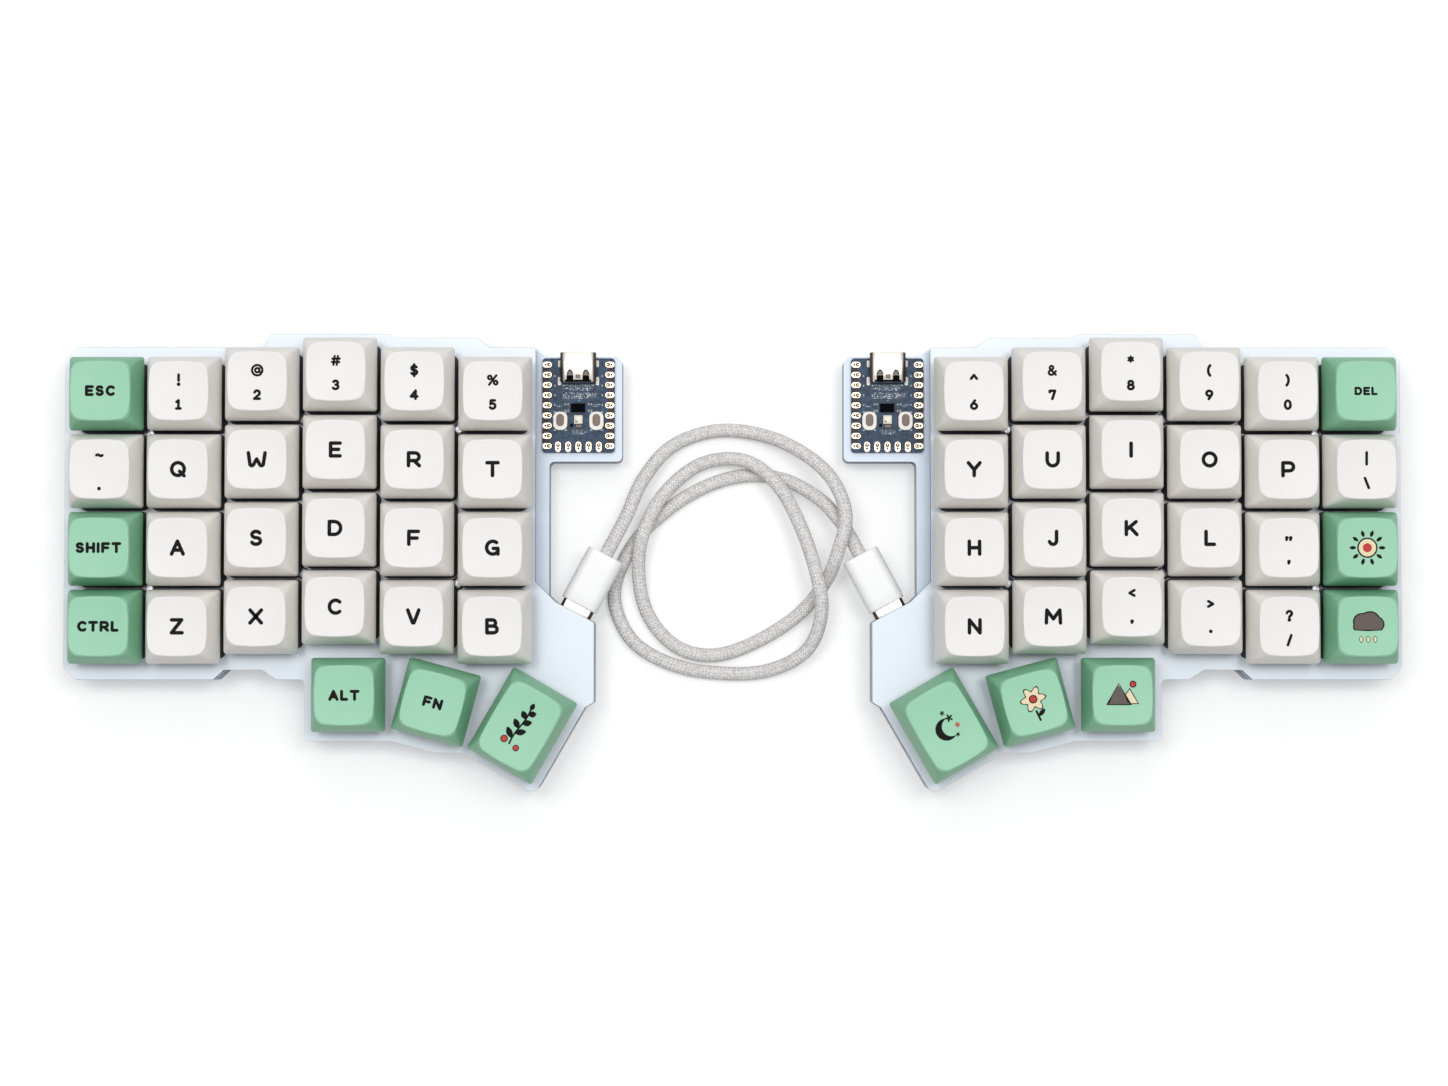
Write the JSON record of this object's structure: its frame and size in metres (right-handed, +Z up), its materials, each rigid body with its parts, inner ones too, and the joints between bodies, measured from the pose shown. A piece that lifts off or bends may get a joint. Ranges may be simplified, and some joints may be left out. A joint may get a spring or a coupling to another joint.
{
  "type": "split keyboard",
  "caption": "Ergonomic split keyboard with staggered key columns and a thumb fan on each open-stacked half, joined by a braided link cable.",
  "frame": {"origin": "middle of the keyboard on the table, midway between the two halves and between their front and back edges", "axes": "+X from the left half to the right half, +Y away from the typist, +Z up from the table"},
  "size_m": [0.3308, 0.113, 0.0286],
  "materials": {
    "cap_cream": "satin, cream white",
    "cap_green": "satin, soft green",
    "housing_plastic": "dark moulded plastic",
    "switch_plate": "pale ice-blue lacquer on glass-fibre board",
    "circuit_board": "pale ice-blue lacquer on glass-fibre board",
    "base_plate": "pale ice-blue lacquer on glass-fibre board",
    "fasteners": "turned brass and plated steel",
    "cable_braid": "woven sleeve"
  },
  "bodies": {
    "halves": {"switch_housings": "housing_plastic", "switch_plates": "switch_plate", "circuit_boards": "circuit_board", "base_plates": "base_plate", "hardware": "fasteners", "link_cable": "cable_braid"},
    "key_esc": {"key_esc": "cap_green"},
    "key_1": {"key_1": "cap_cream"},
    "key_2": {"key_2": "cap_cream"},
    "key_3": {"key_3": "cap_cream"},
    "key_4": {"key_4": "cap_cream"},
    "key_5": {"key_5": "cap_cream"},
    "key_grave": {"key_grave": "cap_cream"},
    "key_q": {"key_q": "cap_cream"},
    "key_w": {"key_w": "cap_cream"},
    "key_e": {"key_e": "cap_cream"},
    "key_r": {"key_r": "cap_cream"},
    "key_t": {"key_t": "cap_cream"},
    "key_shift": {"key_shift": "cap_green"},
    "key_a": {"key_a": "cap_cream"},
    "key_s": {"key_s": "cap_cream"},
    "key_d": {"key_d": "cap_cream"},
    "key_f": {"key_f": "cap_cream"},
    "key_g": {"key_g": "cap_cream"},
    "key_ctrl": {"key_ctrl": "cap_green"},
    "key_z": {"key_z": "cap_cream"},
    "key_x": {"key_x": "cap_cream"},
    "key_c": {"key_c": "cap_cream"},
    "key_v": {"key_v": "cap_cream"},
    "key_b": {"key_b": "cap_cream"},
    "key_alt": {"key_alt": "cap_green"},
    "key_fn": {"key_fn": "cap_green"},
    "key_left_thumb": {"key_left_thumb": "cap_green"},
    "key_del": {"key_del": "cap_green"},
    "key_0": {"key_0": "cap_cream"},
    "key_9": {"key_9": "cap_cream"},
    "key_8": {"key_8": "cap_cream"},
    "key_7": {"key_7": "cap_cream"},
    "key_6": {"key_6": "cap_cream"},
    "key_backslash": {"key_backslash": "cap_cream"},
    "key_p": {"key_p": "cap_cream"},
    "key_o": {"key_o": "cap_cream"},
    "key_i": {"key_i": "cap_cream"},
    "key_u": {"key_u": "cap_cream"},
    "key_y": {"key_y": "cap_cream"},
    "key_outer_upper": {"key_outer_upper": "cap_green"},
    "key_quote": {"key_quote": "cap_cream"},
    "key_l": {"key_l": "cap_cream"},
    "key_k": {"key_k": "cap_cream"},
    "key_j": {"key_j": "cap_cream"},
    "key_h": {"key_h": "cap_cream"},
    "key_outer_lower": {"key_outer_lower": "cap_green"},
    "key_slash": {"key_slash": "cap_cream"},
    "key_period": {"key_period": "cap_cream"},
    "key_comma": {"key_comma": "cap_cream"},
    "key_m": {"key_m": "cap_cream"},
    "key_n": {"key_n": "cap_cream"},
    "key_right_thumb_outer": {"key_right_thumb_outer": "cap_green"},
    "key_right_thumb_middle": {"key_right_thumb_middle": "cap_green"},
    "key_right_thumb_inner": {"key_right_thumb_inner": "cap_green"}
  },
  "joints": [
    {"name": "press_esc", "type": "slide", "parent": "halves", "child": "key_esc", "axis": [0, 0, -1], "range_m": [0, 0.004], "stiffness_N_per_m": 75, "springref_m": -0.004},
    {"name": "press_1", "type": "slide", "parent": "halves", "child": "key_1", "axis": [0, 0, -1], "range_m": [0, 0.004], "stiffness_N_per_m": 75, "springref_m": -0.004},
    {"name": "press_2", "type": "slide", "parent": "halves", "child": "key_2", "axis": [0, 0, -1], "range_m": [0, 0.004], "stiffness_N_per_m": 75, "springref_m": -0.004},
    {"name": "press_3", "type": "slide", "parent": "halves", "child": "key_3", "axis": [0, 0, -1], "range_m": [0, 0.004], "stiffness_N_per_m": 75, "springref_m": -0.004},
    {"name": "press_4", "type": "slide", "parent": "halves", "child": "key_4", "axis": [0, 0, -1], "range_m": [0, 0.004], "stiffness_N_per_m": 75, "springref_m": -0.004},
    {"name": "press_5", "type": "slide", "parent": "halves", "child": "key_5", "axis": [0, 0, -1], "range_m": [0, 0.004], "stiffness_N_per_m": 75, "springref_m": -0.004},
    {"name": "press_grave", "type": "slide", "parent": "halves", "child": "key_grave", "axis": [0, 0, -1], "range_m": [0, 0.004], "stiffness_N_per_m": 75, "springref_m": -0.004},
    {"name": "press_q", "type": "slide", "parent": "halves", "child": "key_q", "axis": [0, 0, -1], "range_m": [0, 0.004], "stiffness_N_per_m": 75, "springref_m": -0.004},
    {"name": "press_w", "type": "slide", "parent": "halves", "child": "key_w", "axis": [0, 0, -1], "range_m": [0, 0.004], "stiffness_N_per_m": 75, "springref_m": -0.004},
    {"name": "press_e", "type": "slide", "parent": "halves", "child": "key_e", "axis": [0, 0, -1], "range_m": [0, 0.004], "stiffness_N_per_m": 75, "springref_m": -0.004},
    {"name": "press_r", "type": "slide", "parent": "halves", "child": "key_r", "axis": [0, 0, -1], "range_m": [0, 0.004], "stiffness_N_per_m": 75, "springref_m": -0.004},
    {"name": "press_t", "type": "slide", "parent": "halves", "child": "key_t", "axis": [0, 0, -1], "range_m": [0, 0.004], "stiffness_N_per_m": 75, "springref_m": -0.004},
    {"name": "press_shift", "type": "slide", "parent": "halves", "child": "key_shift", "axis": [0, 0, -1], "range_m": [0, 0.004], "stiffness_N_per_m": 75, "springref_m": -0.004},
    {"name": "press_a", "type": "slide", "parent": "halves", "child": "key_a", "axis": [0, 0, -1], "range_m": [0, 0.004], "stiffness_N_per_m": 75, "springref_m": -0.004},
    {"name": "press_s", "type": "slide", "parent": "halves", "child": "key_s", "axis": [0, 0, -1], "range_m": [0, 0.004], "stiffness_N_per_m": 75, "springref_m": -0.004},
    {"name": "press_d", "type": "slide", "parent": "halves", "child": "key_d", "axis": [0, 0, -1], "range_m": [0, 0.004], "stiffness_N_per_m": 75, "springref_m": -0.004},
    {"name": "press_f", "type": "slide", "parent": "halves", "child": "key_f", "axis": [0, 0, -1], "range_m": [0, 0.004], "stiffness_N_per_m": 75, "springref_m": -0.004},
    {"name": "press_g", "type": "slide", "parent": "halves", "child": "key_g", "axis": [0, 0, -1], "range_m": [0, 0.004], "stiffness_N_per_m": 75, "springref_m": -0.004},
    {"name": "press_ctrl", "type": "slide", "parent": "halves", "child": "key_ctrl", "axis": [0, 0, -1], "range_m": [0, 0.004], "stiffness_N_per_m": 75, "springref_m": -0.004},
    {"name": "press_z", "type": "slide", "parent": "halves", "child": "key_z", "axis": [0, 0, -1], "range_m": [0, 0.004], "stiffness_N_per_m": 75, "springref_m": -0.004},
    {"name": "press_x", "type": "slide", "parent": "halves", "child": "key_x", "axis": [0, 0, -1], "range_m": [0, 0.004], "stiffness_N_per_m": 75, "springref_m": -0.004},
    {"name": "press_c", "type": "slide", "parent": "halves", "child": "key_c", "axis": [0, 0, -1], "range_m": [0, 0.004], "stiffness_N_per_m": 75, "springref_m": -0.004},
    {"name": "press_v", "type": "slide", "parent": "halves", "child": "key_v", "axis": [0, 0, -1], "range_m": [0, 0.004], "stiffness_N_per_m": 75, "springref_m": -0.004},
    {"name": "press_b", "type": "slide", "parent": "halves", "child": "key_b", "axis": [0, 0, -1], "range_m": [0, 0.004], "stiffness_N_per_m": 75, "springref_m": -0.004},
    {"name": "press_alt", "type": "slide", "parent": "halves", "child": "key_alt", "axis": [0, 0, -1], "range_m": [0, 0.004], "stiffness_N_per_m": 75, "springref_m": -0.004},
    {"name": "press_fn", "type": "slide", "parent": "halves", "child": "key_fn", "axis": [0, 0, -1], "range_m": [0, 0.004], "stiffness_N_per_m": 75, "springref_m": -0.004},
    {"name": "press_left_thumb", "type": "slide", "parent": "halves", "child": "key_left_thumb", "axis": [0, 0, -1], "range_m": [0, 0.004], "stiffness_N_per_m": 75, "springref_m": -0.004},
    {"name": "press_del", "type": "slide", "parent": "halves", "child": "key_del", "axis": [0, 0, -1], "range_m": [0, 0.004], "stiffness_N_per_m": 75, "springref_m": -0.004},
    {"name": "press_0", "type": "slide", "parent": "halves", "child": "key_0", "axis": [0, 0, -1], "range_m": [0, 0.004], "stiffness_N_per_m": 75, "springref_m": -0.004},
    {"name": "press_9", "type": "slide", "parent": "halves", "child": "key_9", "axis": [0, 0, -1], "range_m": [0, 0.004], "stiffness_N_per_m": 75, "springref_m": -0.004},
    {"name": "press_8", "type": "slide", "parent": "halves", "child": "key_8", "axis": [0, 0, -1], "range_m": [0, 0.004], "stiffness_N_per_m": 75, "springref_m": -0.004},
    {"name": "press_7", "type": "slide", "parent": "halves", "child": "key_7", "axis": [0, 0, -1], "range_m": [0, 0.004], "stiffness_N_per_m": 75, "springref_m": -0.004},
    {"name": "press_6", "type": "slide", "parent": "halves", "child": "key_6", "axis": [0, 0, -1], "range_m": [0, 0.004], "stiffness_N_per_m": 75, "springref_m": -0.004},
    {"name": "press_backslash", "type": "slide", "parent": "halves", "child": "key_backslash", "axis": [0, 0, -1], "range_m": [0, 0.004], "stiffness_N_per_m": 75, "springref_m": -0.004},
    {"name": "press_p", "type": "slide", "parent": "halves", "child": "key_p", "axis": [0, 0, -1], "range_m": [0, 0.004], "stiffness_N_per_m": 75, "springref_m": -0.004},
    {"name": "press_o", "type": "slide", "parent": "halves", "child": "key_o", "axis": [0, 0, -1], "range_m": [0, 0.004], "stiffness_N_per_m": 75, "springref_m": -0.004},
    {"name": "press_i", "type": "slide", "parent": "halves", "child": "key_i", "axis": [0, 0, -1], "range_m": [0, 0.004], "stiffness_N_per_m": 75, "springref_m": -0.004},
    {"name": "press_u", "type": "slide", "parent": "halves", "child": "key_u", "axis": [0, 0, -1], "range_m": [0, 0.004], "stiffness_N_per_m": 75, "springref_m": -0.004},
    {"name": "press_y", "type": "slide", "parent": "halves", "child": "key_y", "axis": [0, 0, -1], "range_m": [0, 0.004], "stiffness_N_per_m": 75, "springref_m": -0.004},
    {"name": "press_outer_upper", "type": "slide", "parent": "halves", "child": "key_outer_upper", "axis": [0, 0, -1], "range_m": [0, 0.004], "stiffness_N_per_m": 75, "springref_m": -0.004},
    {"name": "press_quote", "type": "slide", "parent": "halves", "child": "key_quote", "axis": [0, 0, -1], "range_m": [0, 0.004], "stiffness_N_per_m": 75, "springref_m": -0.004},
    {"name": "press_l", "type": "slide", "parent": "halves", "child": "key_l", "axis": [0, 0, -1], "range_m": [0, 0.004], "stiffness_N_per_m": 75, "springref_m": -0.004},
    {"name": "press_k", "type": "slide", "parent": "halves", "child": "key_k", "axis": [0, 0, -1], "range_m": [0, 0.004], "stiffness_N_per_m": 75, "springref_m": -0.004},
    {"name": "press_j", "type": "slide", "parent": "halves", "child": "key_j", "axis": [0, 0, -1], "range_m": [0, 0.004], "stiffness_N_per_m": 75, "springref_m": -0.004},
    {"name": "press_h", "type": "slide", "parent": "halves", "child": "key_h", "axis": [0, 0, -1], "range_m": [0, 0.004], "stiffness_N_per_m": 75, "springref_m": -0.004},
    {"name": "press_outer_lower", "type": "slide", "parent": "halves", "child": "key_outer_lower", "axis": [0, 0, -1], "range_m": [0, 0.004], "stiffness_N_per_m": 75, "springref_m": -0.004},
    {"name": "press_slash", "type": "slide", "parent": "halves", "child": "key_slash", "axis": [0, 0, -1], "range_m": [0, 0.004], "stiffness_N_per_m": 75, "springref_m": -0.004},
    {"name": "press_period", "type": "slide", "parent": "halves", "child": "key_period", "axis": [0, 0, -1], "range_m": [0, 0.004], "stiffness_N_per_m": 75, "springref_m": -0.004},
    {"name": "press_comma", "type": "slide", "parent": "halves", "child": "key_comma", "axis": [0, 0, -1], "range_m": [0, 0.004], "stiffness_N_per_m": 75, "springref_m": -0.004},
    {"name": "press_m", "type": "slide", "parent": "halves", "child": "key_m", "axis": [0, 0, -1], "range_m": [0, 0.004], "stiffness_N_per_m": 75, "springref_m": -0.004},
    {"name": "press_n", "type": "slide", "parent": "halves", "child": "key_n", "axis": [0, 0, -1], "range_m": [0, 0.004], "stiffness_N_per_m": 75, "springref_m": -0.004},
    {"name": "press_right_thumb_outer", "type": "slide", "parent": "halves", "child": "key_right_thumb_outer", "axis": [0, 0, -1], "range_m": [0, 0.004], "stiffness_N_per_m": 75, "springref_m": -0.004},
    {"name": "press_right_thumb_middle", "type": "slide", "parent": "halves", "child": "key_right_thumb_middle", "axis": [0, 0, -1], "range_m": [0, 0.004], "stiffness_N_per_m": 75, "springref_m": -0.004},
    {"name": "press_right_thumb_inner", "type": "slide", "parent": "halves", "child": "key_right_thumb_inner", "axis": [0, 0, -1], "range_m": [0, 0.004], "stiffness_N_per_m": 75, "springref_m": -0.004}
  ]
}
